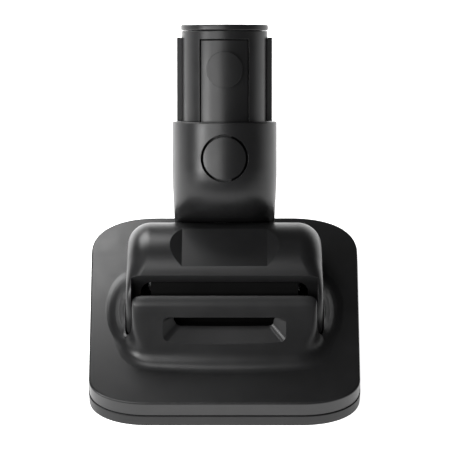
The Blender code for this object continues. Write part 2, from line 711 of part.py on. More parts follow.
def make_tube(shop, neck_axis):
    tube = shop.piece("neck_tube", rod("Z", TUBE_BOTTOM, TUBE_TOP, TUBE_R, (0, 0), 56),
                      (BLACK, 0.42), neck_axis)
    shop.join(tube, rod("Z", NIPPLE_BOTTOM, TUBE_BOTTOM + 1, STUB_R, (0, NIPPLE_SHIFT), 24), neck_axis)
    shop.cut(tube, rod("Z", TUBE_BOTTOM + 2.4, 160, BORE_R, (0, BORE_SHIFT), 40), neck_axis)
    shop.cut(tube, rod("Z", 40, 60, STUB_R - 1.2, (0, NIPPLE_SHIFT), 24), neck_axis)
    shop.cut(tube, block((-SLOT_HALF, -40, SLOT_BOTTOM), (SLOT_HALF, -SLOT_FLOOR, SLOT_TOP)), neck_axis)
    shop.cut(tube, rod("X", -17.2, 17.2, 1.5, (-LEVER_PIVOT_V, LEVER_PIVOT_U), 12), neck_axis)
    for u in (62, 80):
        shop.cut(tube, rod("Y", 20, 40, 1.4, (0, u), 8), neck_axis)
    collar = shop.piece("spigot_collar", rod("Z", TUBE_TOP + GAP, SPIGOT_END, COLLAR_R, (0, 0), 56),
                        (BLACK, 0.36), neck_axis)
    shop.cut(collar, rod("Z", 100, 160, BORE_R + 0.6, (0, BORE_SHIFT - 0.4), 40), neck_axis)


def make_rails(shop, neck_axis):
    low, high = TUBE_R + GAP, 26.8
    start = SLEEVE_TOP + GAP
    shop.piece("key_rail_left", block((-high, -4.5, start), (-low, 4.5, RAIL_TOP)), (BLACK, 0.4),
               neck_axis)
    rail = shop.piece("contact_rail_right", block((low, -4.5, start), (high, 4.5, RAIL_TOP)),
                      (DARK, 0.3), neck_axis)
    for number, u in enumerate((118.0, 127.0), 1):
        shop.cut(rail, rod("X", 20, 30, 1.6, (0, u), 20), neck_axis)
        shop.piece(f"contact_pin_{number}", rod("X", low, high - 0.3, 1.3, (0, u), 20),
                   (BRASS, 0.25, 1.0), neck_axis)


def arc_panel(outer, inner, half, low, high, steps=12):
    """Curved panel: an annular segment about the neck's axis, facing -Y."""
    ring = []
    for radius, order in ((outer, 1), (inner, -1)):
        reach = math.asin(half / radius)
        for i in range(steps + 1):
            angle = order * reach * (2 * i / steps - 1)
            ring.append((radius * math.sin(angle), -radius * math.cos(angle)))
    return ring_loft([[(x, y, low) for x, y in ring], [(x, y, high) for x, y in ring]])


def make_latch(shop, neck_axis, latch):
    local = lambda bm: shift(bm, (0, LEVER_PIVOT_V, -LEVER_PIVOT_U))
    lever = shop.piece("latch_lever", local(arc_panel(LEVER_R, 21.2, 13.0, 56.2, LEVER_TOP)),
                       (BLACK, 0.4), latch)
    catch = shop.tool(rod("Y", -30, -21.6, CATCH_R, (0, CATCH_U), 32), neck_axis)
    shop.keep(catch, rod("Z", 90, 140, TUBE_R + 0.8, (0, 0), 96), neck_axis)
    shop.join(lever, catch)
    shop.join(lever, block((-12.8, -19.3, 56.4), (12.8, -LEVER_PIVOT_V, 60.8)), neck_axis)
    shop.join(lever, rod("X", -12.8, 12.8, 2.7, (-LEVER_PIVOT_V, LEVER_PIVOT_U), 24), neck_axis)
    shop.cut(lever, rod("X", -20, 20, 1.5, (-LEVER_PIVOT_V, LEVER_PIVOT_U), 16), neck_axis)
    shop.piece("latch_pivot_pin", rod("X", -16.0, 16.0, 1.2, (-LEVER_PIVOT_V, LEVER_PIVOT_U), 16),
               (STEEL, 0.25, 1.0), neck_axis)
    make_latch_spring(shop, neck_axis)


def make_latch_spring(shop, neck_axis, turns=4, steps=8, radius=3.2, wire=0.35):
    low, high, u = SLOT_FLOOR + 0.5, 20.3, 100.0
    curve = bpy.data.curves.new("latch_spring", "CURVE")
    curve.dimensions = "3D"
    curve.bevel_depth = wire * MM
    curve.bevel_resolution = 0
    curve.use_fill_caps = True
    spline = curve.splines.new("POLY")
    count = turns * steps
    spline.points.add(count)
    for i in range(count + 1):
        angle = 2 * math.pi * i / steps
        height = low + (high - low) * i / count
        spline.points[i].co = (radius * math.cos(angle) * MM, -height * MM,
                               (u + radius * math.sin(angle)) * MM, 1.0)
    obj = bpy.data.objects.new("latch_spring", curve)
    obj.parent = neck_axis
    shop.parts.objects.link(obj)
    curve.materials.append(make_material("latch_spring", STEEL, 0.25, 1.0))


def make_button(shop, neck_axis, button):
    local = lambda bm: shift(bm, (0, SLEEVE_R, -BUTTON_U))
    cap = shop.piece("release_button", local(rod("Y", -31, -24.7, BUTTON_R, (0, BUTTON_U), 48)),
                     (BLACK, 0.36), button)
    shop.keep(cap, rod("Z", 50, 90, SLEEVE_R - 0.2, (0, 0), 128), neck_axis)
    shop.join(cap, block((-4, -25.6, BUTTON_U - 14.4), (4, -24.7, BUTTON_U + 14.4)), neck_axis)
    shop.join(cap, rod("Y", -25.0, -LEVER_R - 0.35, 3.0, (0, STEM_U), 16), neck_axis)


def make_neck_hardware(shop, neck, neck_axis):
    for number, u in enumerate((62, 80), 1):
        profile = [(28.9, 0.0), (28.9, 2.2), (28.6, 2.6), (28.2, 2.6), (28.2, 1.0), (21.9, 1.0),
                   (21.9, 0.0)]
        screw = shop.piece(f"neck_screw_{number}", turned("Y", profile, 16, (0, u)),
                           (STEEL, 0.3, 1.0), neck_axis)
        shop.cut(screw, rod("Y", 28.5, 30, 1.0, (0, u), 6), neck_axis)
    for side, sign in (("left", -1), ("right", 1)):
        low, high = sorted((sign * 47.1, sign * 51.3))
        profile = [(low, PIN_R + GAP), (low, 4.9), (high, 4.9), (high, PIN_R + GAP)]
        shop.piece(f"pivot_bush_{side}", turned("X", profile, 24), (BRASS, 0.35, 1.0), neck)


# ---------------------------------------------------------------- assembly

def build():
    clear_scene()
    shop = Workshop("motorised_brush_head")
    neck = empty("neck_pivot", (0, 0, PIVOT_Z), 0, None, shop.parts)
    neck_axis = empty("neck_axis", (0, 0, 0), -NECK_TILT, neck, shop.parts)
    latch = empty("latch_pivot", (0, -LEVER_PIVOT_V, LEVER_PIVOT_U), 0, neck_axis, shop.parts)
    button = empty("button_slide", (0, -SLEEVE_R, BUTTON_U), 0, neck_axis, shop.parts)
    brush = empty("brush_pivot", (0, BRUSH_Y, BRUSH_Z), 0, None, shop.parts)
    rotor = empty("rotor_pivot", (0, MOTOR_Y, MOTOR_Z), 0, None, shop.parts)
    lock = empty("lock_pivot", (*LOCK_SPOT, 0), 0, None, shop.parts)
    x, y, z = ROLLER
    rollers = {"left": empty("roller_pivot_left", (-x, y, z), 0, None, shop.parts),
               "right": empty("roller_pivot_right", (x, y, z), 0, None, shop.parts)}
    bpy.context.view_layer.update()

    make_top_cover(shop)
    make_sole(shop)
    make_sole_details(shop)
    make_brush_chamber(shop)
    make_inner_shroud(shop)
    make_brush(shop, brush)
    make_bearings(shop)
    make_belt(shop)
    make_motor(shop, rotor)
    make_electronics(shop)
    make_pivots(shop)
    make_air_hose(shop)
    make_rollers(shop, rollers)
    make_brush_lock(shop, lock)
    make_hood(shop, neck_axis)
    make_sleeve(shop, neck_axis)
    make_tube(shop, neck_axis)
    make_rails(shop, neck_axis)
    make_latch(shop, neck_axis, latch)
    make_button(shop, neck_axis, button)
    make_neck_hardware(shop, neck, neck_axis)


build()
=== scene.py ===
"""Looks for the motorised brush head: fine shells, trim, bristles, plastics, lights and camera."""
import json
import math
import random

import bmesh
import bpy
import numpy as np
from mathutils import Matrix, Vector


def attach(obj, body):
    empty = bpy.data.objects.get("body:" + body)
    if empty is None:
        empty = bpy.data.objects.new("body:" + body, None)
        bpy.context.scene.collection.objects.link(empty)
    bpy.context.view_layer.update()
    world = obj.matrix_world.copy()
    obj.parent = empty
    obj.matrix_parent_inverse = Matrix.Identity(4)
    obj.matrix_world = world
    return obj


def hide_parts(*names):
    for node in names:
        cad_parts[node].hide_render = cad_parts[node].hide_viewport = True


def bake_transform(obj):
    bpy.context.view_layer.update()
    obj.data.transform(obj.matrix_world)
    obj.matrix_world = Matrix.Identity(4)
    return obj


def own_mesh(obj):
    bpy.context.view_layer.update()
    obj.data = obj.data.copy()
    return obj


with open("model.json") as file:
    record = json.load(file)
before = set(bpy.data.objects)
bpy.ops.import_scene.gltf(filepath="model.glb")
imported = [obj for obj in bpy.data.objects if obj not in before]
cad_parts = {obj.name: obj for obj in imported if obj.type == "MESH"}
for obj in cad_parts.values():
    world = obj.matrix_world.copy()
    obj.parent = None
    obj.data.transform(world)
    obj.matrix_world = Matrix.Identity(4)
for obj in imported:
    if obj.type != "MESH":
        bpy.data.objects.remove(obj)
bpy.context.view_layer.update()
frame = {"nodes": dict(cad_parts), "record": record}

# All sizes are in millimetres. On the head, X is to the right and -Y to the front. On the neck,
# u runs along it from the pivot and v across it, and NECK places it at 45 degrees.
MM = 0.001
GAP = 0.3
HEAD_FRONT, HEAD_BACK = -79.5, 56.5
HEAD_HALF_FRONT, HEAD_HALF_BACK = 75.3, 77.0
FRONT_CORNER, BACK_CORNER = (34.0, 18.0, 2.2), (40.0, 27.0, 2.35)
DECK_TOP, SOLE_TOP, WALL, FLOOR = 20.0, 8.8, 2.4, 2.2
PIVOT_Z = 28.5
HOOD_R, HOOD_WALL, HOOD_HALF, HOOD_ROUND, CHEEK_R = 34.0, 4.6, 54.8, 13.5, 21.0
ARM_ROUND = 2.6
CHEEK_INNER, LIP_Y, ARM_INNER, HOOD_CLEARANCE = 46.8, -18.6, 51.8, 0.8
SLEEVE_R, SLEEVE_TOP = 29.6, 91.4
TUBE_R, TUBE_BOTTOM, TUBE_TOP, SPIGOT_END, COLLAR_R = 24.2, 53.0, 142.4, 145.8, 24.6
STUB_R, NIPPLE_BOTTOM, NIPPLE_SHIFT = 7.4, 46.0, 13.0
BORE_R, BORE_SHIFT, RAIL_TOP = 16.0, 5.0, 138.7
SLOT_HALF, SLOT_FLOOR, SLOT_TOP, SLOT_BOTTOM = 13.6, 12.7, 137.4, 55.4
LEVER_PIVOT_U, LEVER_PIVOT_V, LEVER_TOP, LEVER_R = 58.5, 16.0, 136.9, 23.7
CATCH_U, CATCH_R, BOSS_R = 120.7, 10.1, 30.0
BUTTON_U, BUTTON_R, BUTTON_HOLE_R = 71.6, 12.0, 13.2
BRUSH_Y, BRUSH_Z, BRISTLE_R, CORE_R = -33.5, 13.3, 12.5, 6.2
LOCK_SPOT = (61.5, -33.5)
ROLLER = (55.0, 38.0, 4.2)
SCREW_SPOTS = [(-62, -66), (62, -66), (-67.5, 4), (67.5, 4), (-44, 49), (44, 49)]
LINT_GROOVES = ((-53.3, -48.9), (-18.1, -13.7))
NECK = Matrix.Translation((0, 0, PIVOT_Z)) @ Matrix.Rotation(math.radians(-45), 4, "X")

# Sleeve: height u, half width, reach to the front, reach to the back.
SLEEVE = [(12, 28.0, -2.5, 22.6), (24, 28.2, -2.5, 23.6), (31, 28.4, -2.5, 25.8),
          (34, 28.5, -1.0, 26.6), (36.5, 28.6, 9.0, 27.0), (39, 28.7, 14.2, 27.5),
          (44, 28.9, 20.8, 28.3), (48, 29.1, 24.2, 28.9), (51, 29.2, 26.1, 29.2),
          (54.8, 29.4, 27.7, 29.4), (60, 29.55, 29.0, 29.6), (66, 29.6, 29.6, 29.6),
          (90.8, 29.6, 29.6, 29.6)]
# Housing: height, front edge, half width, corner size, bow of the front edge.
HOUSING = [(18.8, -61.2, 63.5, 22.0, 3.3), (19.9, -60.2, 62.3, 21.5, 3.3),
           (20.04, -58.6, 61.0, 20.5, 3.2), (20.45, -56.2, 59.0, 19.0, 3.0),
           (21.3, -53.9, 57.2, 17.5, 2.8), (22.5, -51.9, 55.6, 15.5, 2.5),
           (24.0, -50.1, 54.3, 13.5, 2.2), (25.3, -48.9, 53.4, 12.2, 1.9),
           (28.0, -46.8, 52.4, 10.0, 1.5), (34.0, -42.2, 51.8, 6.0, 0.9),
           (40.0, -37.6, 51.6, 4.2, 0.4), (45.6, -33.3, 51.5, 3.6, 0.1),
           (47.1, -32.0, 51.4, 3.6, 0.0), (48.5, -30.3, 51.0, 3.8, 0.0),
           (49.6, -28.4, 50.2, 4.0, 0.0), (50.4, -26.4, 48.8, 4.0, 0.0),
           (50.8, -24.7, 47.5, 4.0, 0.0)]
HOUSING_REAR, HUB_Y, FLARE_BLEND = -8.0, -20.0, 5.0
# Flare beside each hood arm: height, centre across, half across, half along, centre along.
FLARE = [(18.2, 54.0, 15.0, 28.4, -10.2), (19.9, 54.0, 14.0, 27.2, -10.8),
         (20.1, 54.0, 12.8, 25.8, -11.6), (20.6, 54.0, 11.2, 23.8, -12.7),
         (21.4, 54.0, 9.6, 21.8, -13.8), (22.8, 54.0, 7.6, 19.2, -15.1),
         (25.0, 54.0, 5.4, 15.6, -16.9), (29.0, 54.0, 2.9, 9.6, -19.8),
         (31.5, 53.8, 2.0, 6.6, -21.3), (35.0, 52.2, 1.4, 4.4, -22.5),
         (39.0, 49.6, 1.2, 3.0, -23.5)]
# Slot at the back of the air intake, and the sleeve's bore and screws.
SLIT_HALF, SLIT_R, SLIT_Z, SLIT_Y = 23.0, 2.0, 35.2, (-36.5, -20.0)
SLEEVE_BORE_R, SCREW_HEIGHTS, CONTACT_HEIGHTS = 26.5, (62, 80), (118.0, 127.0)
BLEND_START, BLEND_SPAN = 32.0, 48.0
# Tufts: how many, hairs in each, first place, length of the row, and its turn in degrees.
TUFT_COUNT, HAIRS, TUFT_START, TUFT_SPAN, TUFT_TURN = 34, 16, -33.0, 76.2, 150.0

CAMERA_PLACE, CAMERA_TILT, CAMERA_LENS, SENSOR = (0.00028, -0.866766, 1.075300), 41.0, 191.28, 36.0
FLOOR_SIZE, FLOOR_DROP, WORLD_STRENGTH = 6.0, 0.0002, 0.05
# Lights: name, place, aim, size and power, in metres and watts.
LIGHTS = [("left_strip", (-0.706, -0.408, 0.440), (0, 0, 0.06), (0.3, 0.3), 6.1),
          ("front_left", (-0.345, -0.597, 0.639), (0, 0, 0.06), (0.48, 0.48), 4.6),
          ("overhead", (-0.189, -0.109, 0.933), (0, 0, 0.06), (0.3, 0.3), 2.5),
          ("near_left", (-0.13, 0.20, 0.17), (-0.06, 0.04, 0.02), (0.12, 0.12), 0.5),
          ("near_back", (-0.08, 0.26, 0.28), (-0.04, 0, 0.02), (0.12, 0.12), 0.23)]


# ---------------------------------------------------------------- mesh tools

def ring_loft(rings, cap=True):
    """Skin over a list of rings with equal numbers of points."""
    bm = bmesh.new()
    loops = [[bm.verts.new(point) for point in ring] for ring in rings]
    count = len(loops[0])
    for lower, upper in zip(loops, loops[1:]):
        for i in range(count):
            j = (i + 1) % count
            bm.faces.new((lower[i], lower[j], upper[j], upper[i]))
    if cap:
        bm.faces.new(list(reversed(loops[0])))
        bm.faces.new(loops[-1])
    bmesh.ops.recalc_face_normals(bm, faces=bm.faces)
    return bm


def block(low, high):
    """Box between two corners."""
    xs, ys, zs = zip(low, high)
    return ring_loft([[(xs[0], ys[0], z), (xs[1], ys[0], z), (xs[1], ys[1], z), (xs[0], ys[1], z)]
                      for z in zs])


def soft_block(low, high, edge):
    """Block with its edges rounded."""
    bm = block(low, high)
    bmesh.ops.bevel(bm, geom=bm.edges[:], offset=edge, segments=3, profile=0.5, affect="EDGES")
    return bm


def lathe(axis, profile, steps=96, centre=(0.0, 0.0)):
    """Turns a closed profile, or one that runs from axis to axis, of (along, radius)."""
    bm = bmesh.new()
    place = {"X": lambda a, r, c, s: (a, centre[0] + r * c, centre[1] + r * s),
             "Y": lambda a, r, c, s: (centre[0] + r * s, a, centre[1] + r * c),
             "Z": lambda a, r, c, s: (centre[0] + r * c, centre[1] + r * s, a)}[axis]
    turns = [(math.cos(2 * math.pi * i / steps), math.sin(2 * math.pi * i / steps))
             for i in range(steps)]
    rings = []
    for along, radius in profile:
        if radius <= 0:
            rings.append([bm.verts.new(place(along, 0.0, 1.0, 0.0))])
        else:
            rings.append([bm.verts.new(place(along, radius, c, s)) for c, s in turns])
    pairs = list(zip(rings, rings[1:]))
    if profile[0][1] > 0:
        pairs.append((rings[-1], rings[0]))
    for a, b in pairs:
        for i in range(steps):
            j = (i + 1) % steps
            if len(a) == 1 and len(b) == 1:
                continue
            if len(a) == 1:
                bm.faces.new((a[0], b[j], b[i]))
            elif len(b) == 1:
                bm.faces.new((a[i], a[j], b[0]))
            else:
                bm.faces.new((a[i], a[j], b[j], b[i]))
    bmesh.ops.recalc_face_normals(bm, faces=bm.faces)
    return bm


def rod(axis, start, end, radius, centre=(0.0, 0.0), steps=96, edge=0.0):
    """Cylinder, with both end edges rounded by edge."""
    if edge <= 0:
        return lathe(axis, [(start, 0.0), (start, radius), (end, radius), (end, 0.0)], steps,
                     centre)
    arc = [math.radians(a) for a in (0, 22.5, 45, 67.5, 90)]
    low = [(start + edge * (1 - math.sin(a)), radius - edge * (1 - math.cos(a)))
           for a in reversed(arc)]
    high = [(end - edge * (1 - math.sin(a)), radius - edge * (1 - math.cos(a))) for a in arc]
    return lathe(axis, [(start, 0.0)] + low + high + [(end, 0.0)], steps, centre)


def make_object(name, bm, transform=None):
    """Mesh object in metres from a mesh in millimetres."""
    if transform is not None:
        bm.transform(transform)
    bmesh.ops.scale(bm, vec=(MM,) * 3, verts=bm.verts)
    mesh = bpy.data.meshes.new(name)
    bm.to_mesh(mesh)
    bm.free()
    obj = bpy.data.objects.new(name, mesh)
    bpy.context.scene.collection.objects.link(obj)
    return obj


def combine(target, steps):
    """Applies a list of (operation, solid, transform) booleans to target, then drops the tools."""
    tools = []
    for operation, solid, transform in steps:
        tool = solid
        if not isinstance(solid, bpy.types.Object):
            tool = make_object("tool", solid, transform)
        modifier = target.modifiers.new("b", "BOOLEAN")
        modifier.operation, modifier.solver, modifier.object = operation, "MANIFOLD", tool
        tools.append(tool)
    settle(target)
    for tool in tools:
        bpy.data.objects.remove(tool, do_unlink=True)
    return target


def settle(obj):
    """Replaces an object's mesh with its modified mesh."""
    graph = bpy.context.evaluated_depsgraph_get()
    result = bpy.data.meshes.new_from_object(obj.evaluated_get(graph))
    obj.modifiers.clear()
    old, obj.data = obj.data, result
    bpy.data.meshes.remove(old)


def cut(solid, transform=None):
    return ("DIFFERENCE", solid, transform)


def join(solid, transform=None):
    return ("UNION", solid, transform)


def keep(solid, transform=None):
    return ("INTERSECT", solid, transform)


def polish(obj, angle=14.0):
    """Smooth shading with crisp edges and flat faces kept flat."""
    bm = bmesh.new()
    bm.from_mesh(obj.data)
    bmesh.ops.remove_doubles(bm, verts=bm.verts, dist=0.000002)
    bmesh.ops.dissolve_degenerate(bm, edges=bm.edges, dist=0.000001)
    bm.to_mesh(obj.data)
    bm.free()
    obj.data.shade_smooth()
    obj.data.set_sharp_from_angle(angle=math.radians(angle))
    modifier = obj.modifiers.new("weights", "WEIGHTED_NORMAL")
    modifier.keep_sharp = True
    modifier.weight = 80
    settle(obj)
    return obj


def finish_piece(obj, body, slot, node, material=None):
    """Gives a piece its finish and body, and hides the CAD node it stands for."""
    obj.data.materials.clear()
    obj.data.materials.append(material or BY_SLOT[slot])
    if body is not None:
        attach(obj, body)
    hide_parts(node)


def even_curve(rows, count):
    """Monotone cubic through rows of numbers, spaced by their distance from each other."""
    rows = np.array(rows, float)
    gaps = np.linalg.norm(np.diff(rows[:, :2], axis=0), axis=1)
    at = np.concatenate([[0], np.cumsum(gaps)])
    slopes = np.diff(rows, axis=0) / gaps[:, None]
    tangents = np.zeros_like(rows)
    for i in range(1, len(rows) - 1):
        a, b = slopes[i - 1], slopes[i]
        same = a * b > 0
        w1, w2 = 2 * gaps[i] + gaps[i - 1], gaps[i] + 2 * gaps[i - 1]
        tangents[i][same] = ((w1 + w2) / (w1 / np.where(same, a, 1)
                                          + w2 / np.where(same, b, 1)))[same]
    tangents[0], tangents[-1] = slopes[0], slopes[-1]
    out = []
    for t in np.linspace(0, at[-1], count):
        i = min(int(np.searchsorted(at, t, "right")) - 1, len(gaps) - 1)
        s, h = (t - at[i]) / gaps[i], gaps[i]
        out.append(((1 + 2 * s) * (1 - s) ** 2) * rows[i] + s * (1 - s) ** 2 * h * tangents[i]
                   + s * s * (3 - 2 * s) * rows[i + 1] + s * s * (s - 1) * h * tangents[i + 1])
    return np.array(out)


# ---------------------------------------------------------------- shells

def corner_arc(size, steps):
    """Quarter of a superellipse: half axes and power."""
    a, b, power = size
    angles = [math.pi / 2 * i / steps for i in range(steps + 1)]
    return [(a * math.cos(t) ** (2 / power), b * math.sin(t) ** (2 / power)) for t in angles]


def head_outline(inset, steps=30):
    right = []
    fa, fb, fp = FRONT_CORNER
    half = HEAD_HALF_FRONT - inset
    for dx, dy in reversed(corner_arc((fa - inset, fb - inset, fp), steps)):
        right.append((half - (fa - inset) + dx, HEAD_FRONT + fb - dy))
    ba, bb, bp = BACK_CORNER
    half = HEAD_HALF_BACK - inset
    for dx, dy in corner_arc((ba - inset, bb - inset, bp), steps):
        right.append((half - (ba - inset) + dx, HEAD_BACK - bb + dy))
    return right + [(-x, y) for x, y in reversed(right)]


def head_loft(levels, steps=30):
    return ring_loft([[(x, y, z) for x, y in head_outline(inset, steps)] for z, inset in levels])


def housing_reach(angles, front, half, corner, bow):
    """Distance from the hub to the housing's outline in each direction."""
    right = [(0.0, HOUSING_REAR)]
    side = front + corner - HOUSING_REAR
    right += [(half, HOUSING_REAR + side * i / 30) for i in range(31)]
    for dx, dy in corner_arc((corner, corner, 2.3), 24):
        right.append((half - corner + dx, front + corner - dy))
    flat = half - corner
    right += [(flat * (1 - i / 160), front) for i in range(1, 161)]
    points = [(x, y + bow * (x / 50.0) ** 2 * min(1.0, max(0.0, (-y + HOUSING_REAR) / 25.0)))
              for x, y in right]
    found = [(math.atan2(x, HUB_Y - y) % math.pi, math.hypot(x, y - HUB_Y)) for x, y in points]
    found[0] = (math.pi, found[0][1])
    found.sort()
    a, r = zip(*found)
    return np.interp(np.abs(angles), a, r)


def flare_reach(angles, centre, across, along, middle):
    """Distance from the hub to the far side of the flare's ellipse, or 0 where it misses."""
    dx, dy = np.abs(np.sin(angles)), -np.cos(angles)
    px, py = -centre, HUB_Y - middle
    a = (dx / across) ** 2 + (dy / along) ** 2
    b = 2 * (px * dx / across ** 2 + py * dy / along ** 2)
    c = (px / across) ** 2 + (py / along) ** 2 - 1
    inside = b * b - 4 * a * c
    return np.where(inside > 0, (-b + np.sqrt(np.maximum(inside, 0))) / (2 * a), 0.0)


def housing_loft(count, rows, inset=0.0, drop=0.0):
    """Housing and both flares as one loft around a hub, blended where they meet."""
    angles = np.linspace(-math.pi, math.pi, count, endpoint=False) + math.pi / count
    flare = np.array(FLARE)
    rings = []
    for z, front, half, corner, bow in even_curve(HOUSING, rows):
        reach = housing_reach(angles, front, half, corner, bow)
        if z < FLARE[-1][0]:
            values = [np.interp(z, flare[:, 0], flare[:, k]) for k in range(1, 5)]
            other = flare_reach(angles, *values)
            joined = (reach + other + np.sqrt((reach - other) ** 2 + FLARE_BLEND)) / 2
            reach = np.where(other > 0, joined, reach)
        reach = np.maximum(reach - inset, 2.0)
        rings.append([(r * math.sin(t), HUB_Y - r * math.cos(t), z - drop)
                      for r, t in zip(reach, angles)])
    return ring_loft(rings)


def hood_profile(grow, half_grow, soft, fine):
    """Half of the barrel's outline as (along X, radius); soft is 1 on top and 0 at the arms."""
    radius, half = HOOD_R + grow, HOOD_HALF + half_grow
    across = ARM_ROUND + (HOOD_ROUND - ARM_ROUND) * soft
    down = ARM_ROUND + (HOOD_R - CHEEK_R - ARM_ROUND) * soft
    angles = [math.pi / 2 * i / fine for i in range(fine + 1)]
    right = [(half - across * (1 - math.sin(a)), radius - down * (1 - math.cos(a))) for a in angles]
    return [(-x, r) for x, r in reversed(right)] + right


def hood_solid(grow, half_grow, steps=240, fine=16):
    """Barrel about the pivot: full cheeks on top, square-edged discs where its arms are."""
    bm = bmesh.new()
    rings = []
    for i in range(steps):
        elevation = 360.0 * i / steps - 90.0
        soft = min(1.0, max(0.0, (elevation - BLEND_START) / BLEND_SPAN))
        soft = soft * soft * (3 - 2 * soft)
        y, z = -math.cos(math.radians(elevation)), math.sin(math.radians(elevation))
        rings.append([bm.verts.new((x, y * r, PIVOT_Z + z * r))
                      for x, r in hood_profile(grow, half_grow, soft, fine)])
    for a, b in zip(rings, rings[1:] + rings[:1]):
        for k in range(len(a) - 1):
            bm.faces.new((a[k], b[k], b[k + 1], a[k + 1]))
    for end in (0, -1):
        hub = bm.verts.new((rings[0][end].co.x, 0, PIVOT_Z))
        for a, b in zip(rings, rings[1:] + rings[:1]):
            bm.faces.new((a[end], b[end], hub))
    bmesh.ops.recalc_face_normals(bm, faces=bm.faces)
    return bm


def hood_cavity():
    """Room inside the hood."""
    radius, soft = HOOD_R - HOOD_WALL, 7.0
    right = [(CHEEK_INNER - soft + soft * math.sin(math.pi / 2 * i / 10),
              radius - soft + soft * math.cos(math.pi / 2 * i / 10)) for i in range(11)]
    right.append((CHEEK_INNER, 0.0))
    profile = [(-x, r) for x, r in reversed(right)] + right
    return lathe("X", profile, 160, (0.0, PIVOT_Z))


def notch_solid(grow, mouth):
    """Air intake: square to the sloping front, with a sagging floor, narrowing to its back."""
    low_front, high_front = Vector((0, -45.3, 29.3)), Vector((0, -36.2, 41.7))
    out = Vector((0, -0.79, 0.61))
    rows = ((low_front + out * (mouth or 2.0), high_front + out * (mouth or 2.0), 34.2, 1.7),
            (low_front, high_front, 34.2, 1.7),
            (Vector((0, -32.0, 32.9)), Vector((0, -30.5, 40.8)), 25.0, 0.0))
    rings = []
    for low, high, half, sag in rows:
        up = (high - low).normalized()
        low, high, half = low - up * grow, high + up * grow, half + grow
        if sag == 0:
            low, high = low + Vector((0, grow * 0.65, 0)), high + Vector((0, grow * 0.65, 0))
        length = (high - low).length
        ring = []
        for cx, cz, start in ((half - 3, length - 3, 0), (3 - half, length - 3, 90),
                              (3 - half, 3, 180), (half - 3, 3, 270)):
            for i in range(9):
                angle = math.radians(start + 11.25 * i)
                ring.append((cx + 3 * math.cos(angle), cz + 3 * math.sin(angle)))
            if start == 180:
                ring += [((half - 3) * (i / 6 - 1), 0.0) for i in range(1, 12)]
        rings.append([tuple(low + up * (rise + (sag * (x / half) ** 2 if rise < length / 2 else 0))
                            + Vector((x, 0, 0))) for x, rise in ring])
    return ring_loft(rings)


def make_cover():
    """Top cover: deck, front housing, flares and air intake."""
    edge = [(DECK_TOP - 1.2 + 1.2 * math.sin(a), 1.2 * (1 - math.cos(a)))
            for a in (math.pi / 2 * i / 8 for i in range(9))]
    cover = make_object("cover_skin", head_loft([(SOLE_TOP + GAP, 0.3), (SOLE_TOP + GAP + 0.3, 0.0)]
                                                + edge))
    cavity = make_object("tool", head_loft([(SOLE_TOP - 1, WALL), (DECK_TOP - WALL, WALL + 0.6)],
                                           12))
    combine(cavity, [join(housing_loft(120, 26, 3.2, WALL)), cut(notch_solid(1.8, 0.0))])
    steps = [join(housing_loft(420, 84)), cut(cavity), cut(notch_solid(0.0, 6.0)),
             cut(slit_solid()), cut(hood_solid(HOOD_CLEARANCE, HOOD_CLEARANCE, 240))]
    return polish(combine(cover, steps))


def slit_solid():
    """Slot at the back of the air intake, with rounded ends."""
    ring = []
    for cx, start in ((SLIT_HALF, -90), (-SLIT_HALF, 90)):
        for i in range(9):
            angle = math.radians(start + 22.5 * i)
            ring.append((cx + SLIT_R * math.cos(angle), SLIT_Z + SLIT_R * math.sin(angle)))
    return ring_loft([[(x, y, z) for x, z in ring] for y in SLIT_Y])


def scoop_solid():
    """Flat milled across the top of the barrel, with ramps at its ends."""
    floor, top, inner, rise, reach = 31.2, 38.0, 23.8, 2.4, 14.6
    tilt = math.radians(89.3)
    out = Vector((0, -math.cos(tilt), math.sin(tilt)))
    along = Vector((0, math.sin(tilt), math.cos(tilt)))
    rings = []
    for depth in (floor, top):
        half = inner + rise * (depth - floor)
        rings.append([tuple(Vector((sx * half, 0, PIVOT_Z)) + out * depth + along * sy * reach)
                      for sx, sy in ((1, 1), (-1, 1), (-1, -1), (1, -1))])
    return ring_loft(rings)


def make_hood():
    """Pivoting hood with its scoop and the way through for the hose."""
    hood = make_object("hood_skin", hood_solid(0, 0))
    hole = [[(24.0 * math.cos(a), 13.4 + 10.4 * math.sin(a), u) for a in
             (2 * math.pi * i / 64 for i in range(64))] for u in (12, 45)]
    steps = [cut(hood_cavity()),
             cut(block((-ARM_INNER, -60, -20), (ARM_INNER, LIP_Y, 80))),
             cut(block((-ARM_INNER, -60, -20), (ARM_INNER, -9.0, 24.0))),
             cut(block((-60, -60, -20), (60, -20.0, 24.0))),
             cut(block((-60, -60, -20), (60, 60, 12.0))),
             cut(scoop_solid()), cut(ring_loft(hole), NECK)]
    for sign in (-1, 1):
        low, high = sorted((sign * 40, sign * 51.7))
        steps.append(cut(rod("X", low, high, 5.2, (0, PIVOT_Z), 48)))
    return polish(combine(hood, steps))


def sleeve_loft(inset, last, rows=70, steps=160):
    rings = []
    for u, across, front, back in even_curve([r for r in SLEEVE if r[0] <= last], rows):
        middle, deep = (back - front) / 2, (back + front) / 2 - inset
        rings.append([((across - inset) * math.cos(a), middle + deep * math.sin(a), u)
                      for a in (2 * math.pi * i / steps for i in range(steps))])
    if inset == 0:
        for a in (30, 60, 90):
            fall = 0.6 * (1 - math.cos(math.radians(a)))
            rings.append([((SLEEVE_R - fall) * math.cos(t), (SLEEVE_R - fall) * math.sin(t),
                           90.8 + 0.6 * math.sin(math.radians(a)))
                          for t in (2 * math.pi * i / steps for i in range(steps))])
    return ring_loft(rings)


